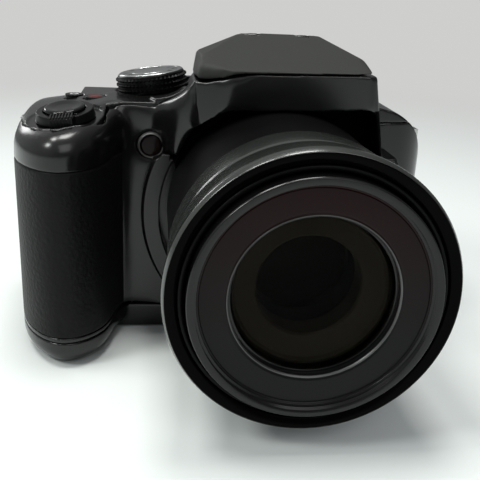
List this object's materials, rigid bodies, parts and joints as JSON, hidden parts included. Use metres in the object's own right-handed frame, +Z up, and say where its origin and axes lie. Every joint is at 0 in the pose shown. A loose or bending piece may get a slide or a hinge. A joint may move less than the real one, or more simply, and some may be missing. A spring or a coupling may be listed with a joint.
{
  "type": "bridge camera",
  "caption": "Bridge camera with a deep grip, a finder hump with a lifting flash, a mode dial and a telescoping zoom lens; dials, lever, buttons, doors and flash move.",
  "frame": {"origin": "mouth of the tripod socket, on the base plane, straight below the lens axis", "axes": "+Z up, the lens looks along -Y, +X is on the right seen from the front; the grip is on the -X side"},
  "size_m": [0.1339, 0.1192, 0.0918],
  "materials": {
    "barrel": "smooth satin",
    "board": "circuit board",
    "clear": "clear",
    "dark_metal": "satin black",
    "glass": "coated",
    "gloss": "glossy black",
    "inner": "matt black",
    "rubber": "fine grained",
    "screen": "dark",
    "shell": "satin black, slightly glossy",
    "silver": "turned",
    "steel": "plain"
  },
  "bodies": {
    "body": {"battery_box": "inner", "bottom_cover": "shell", "bottom_screws": "dark_metal", "door_pins": "steel", "eyecup": "rubber", "eyepiece_lens": "screen", "finder_unit": "inner", "fixed_barrel": "barrel", "flash_capacitor": "inner", "flash_pin": "steel", "front_housing": "shell", "grip_rubber": "rubber", "image_sensor": "board", "iris_unit": "inner", "lamp_lens": "clear", "lens_base": "inner", "lens_collar": "shell", "main_board": "board", "microphones": "dark_metal", "rear_cover": "shell", "screen_panel": "gloss", "screen_window": "screen", "side_sockets": "steel", "strap_lugs": "steel", "thumb_rest": "rubber", "top_cover": "shell", "tripod_socket": "steel", "zoom_motor": "steel"},
    "zoom_tube_rear": {"zoom_tube_rear": "barrel", "second_group": "inner"},
    "zoom_tube_front": {"zoom_tube_front": "barrel", "name_ring": "gloss", "front_element": "glass", "lens_baffle": "inner"},
    "focus_group": {"focus_group": "glass"},
    "mode_dial": {"mode_dial": "dark_metal", "mode_dial_cap": "silver"},
    "flash_lid": {"flash_lid": "shell", "flash_window": "clear", "flash_tube": "clear"},
    "zoom_lever": {"zoom_lever": "dark_metal"},
    "shutter_button": {"shutter_button": "dark_metal"},
    "movie_button": {"movie_button": "shell"},
    "burst_button": {"burst_button": "shell"},
    "power_switch": {"power_switch": "shell"},
    "rear_dial": {"rear_dial": "shell"},
    "diopter_dial": {"diopter_dial": "shell"},
    "flash_button": {"flash_button": "shell"},
    "finder_button": {"finder_button": "shell"},
    "lock_button": {"lock_button": "shell"},
    "playback_button": {"playback_button": "shell"},
    "display_button": {"display_button": "shell"},
    "menu_button": {"menu_button": "shell"},
    "cursor_pad": {"cursor_pad": "shell"},
    "set_button": {"set_button": "shell"},
    "battery_door": {"battery_door": "shell"},
    "socket_door": {"socket_door": "shell"},
    "door_latch": {"door_latch": "shell"},
    "battery": {"battery": "inner"},
    "memory_card": {"memory_card": "inner"}
  },
  "joints": [
    {"name": "zoom_rear_slide", "type": "slide", "parent": "body", "child": "zoom_tube_rear", "axis": [0, -1, 0], "range_m": [0, 0.03]},
    {"name": "zoom_front_slide", "type": "slide", "parent": "zoom_tube_rear", "child": "zoom_tube_front", "axis": [0, -1, 0], "range_m": [0, 0.032]},
    {"name": "focus_slide", "type": "slide", "parent": "body", "child": "focus_group", "axis": [0, 1, 0], "range_m": [-0.003, 0.003]},
    {"name": "mode_dial_turn", "type": "hinge", "parent": "body", "child": "mode_dial", "pos_m": [-0.0376, -0.002, 0.075], "axis": [-0.1348, 0, 0.9909], "continuous": true},
    {"name": "zoom_lever_turn", "type": "hinge", "parent": "body", "child": "zoom_lever", "pos_m": [-0.061, -0.0345, 0.0682], "axis": [-0.0984, -0.1476, 0.9841], "range_deg": [-20, 20], "stiffness_Nm_per_rad": 0.02},
    {"name": "shutter_press", "type": "slide", "parent": "body", "child": "shutter_button", "axis": [0.0984, 0.1476, -0.9841], "range_m": [0, 0.0015], "stiffness_N_per_m": 150, "springref_m": -0.001},
    {"name": "movie_press", "type": "slide", "parent": "body", "child": "movie_button", "axis": [0, 0, -1], "range_m": [0, 0.0006], "stiffness_N_per_m": 150, "springref_m": -0.001},
    {"name": "burst_press", "type": "slide", "parent": "body", "child": "burst_button", "axis": [0, 0, -1], "range_m": [0, 0.0006], "stiffness_N_per_m": 150, "springref_m": -0.001},
    {"name": "power_slide", "type": "slide", "parent": "body", "child": "power_switch", "axis": [0, 1, 0], "range_m": [0, 0.003]},
    {"name": "rear_dial_turn", "type": "hinge", "parent": "body", "child": "rear_dial", "pos_m": [-0.058, 0.0072, 0.059], "axis": [0, 0, 1], "continuous": true},
    {"name": "diopter_turn", "type": "hinge", "parent": "body", "child": "diopter_dial", "pos_m": [0.023, 0.0085, 0.0755], "axis": [1, 0, 0], "range_deg": [-120, 120]},
    {"name": "flash_press", "type": "slide", "parent": "body", "child": "flash_button", "axis": [-1, 0, 0], "range_m": [0, 0.0006], "stiffness_N_per_m": 150, "springref_m": -0.001},
    {"name": "finder_press", "type": "slide", "parent": "body", "child": "finder_button", "axis": [0, -1, 0], "range_m": [0, 0.0006], "stiffness_N_per_m": 150, "springref_m": -0.001},
    {"name": "lock_press", "type": "slide", "parent": "body", "child": "lock_button", "axis": [0, -1, 0], "range_m": [0, 0.0006], "stiffness_N_per_m": 150, "springref_m": -0.001},
    {"name": "playback_press", "type": "slide", "parent": "body", "child": "playback_button", "axis": [0, -1, 0], "range_m": [0, 0.0006], "stiffness_N_per_m": 150, "springref_m": -0.001},
    {"name": "display_press", "type": "slide", "parent": "body", "child": "display_button", "axis": [0, -1, 0], "range_m": [0, 0.0006], "stiffness_N_per_m": 150, "springref_m": -0.001},
    {"name": "menu_press", "type": "slide", "parent": "body", "child": "menu_button", "axis": [0, -1, 0], "range_m": [0, 0.0006], "stiffness_N_per_m": 150, "springref_m": -0.001},
    {"name": "set_press", "type": "slide", "parent": "body", "child": "set_button", "axis": [0, -1, 0], "range_m": [0, 0.0006], "stiffness_N_per_m": 150, "springref_m": -0.001},
    {"name": "cursor_press", "type": "slide", "parent": "body", "child": "cursor_pad", "axis": [0, -1, 0], "range_m": [0, 0.0005], "stiffness_N_per_m": 150, "springref_m": -0.001},
    {"name": "flash_hinge", "type": "hinge", "parent": "body", "child": "flash_lid", "pos_m": [0, -0.016, 0.0906], "axis": [-1, 0, 0], "range_deg": [0, 50]},
    {"name": "battery_door_hinge", "type": "hinge", "parent": "body", "child": "battery_door", "pos_m": [-0.0451, -0.008, 0.0009], "axis": [0, -1, 0], "range_deg": [0, 95]},
    {"name": "socket_door_hinge", "type": "hinge", "parent": "body", "child": "socket_door", "pos_m": [-0.0769, 0.0042, 0.036], "axis": [0, 0, -1], "range_deg": [0, 110]},
    {"name": "door_latch_slide", "type": "slide", "parent": "body", "child": "door_latch", "axis": [0, 1, 0], "range_m": [0, 0.0022]},
    {"name": "battery_slide", "type": "slide", "parent": "body", "child": "battery", "axis": [0, 0, 1], "range_m": [0, 0.0018]},
    {"name": "card_slide", "type": "slide", "parent": "body", "child": "memory_card", "axis": [0, 0, 1], "range_m": [0, 0.001], "stiffness_N_per_m": 150, "springref_m": -0.001}
  ],
  "couplings": [
    {"joint": "zoom_front_slide", "follows": "zoom_rear_slide", "ratio": 1.0667}
  ]
}
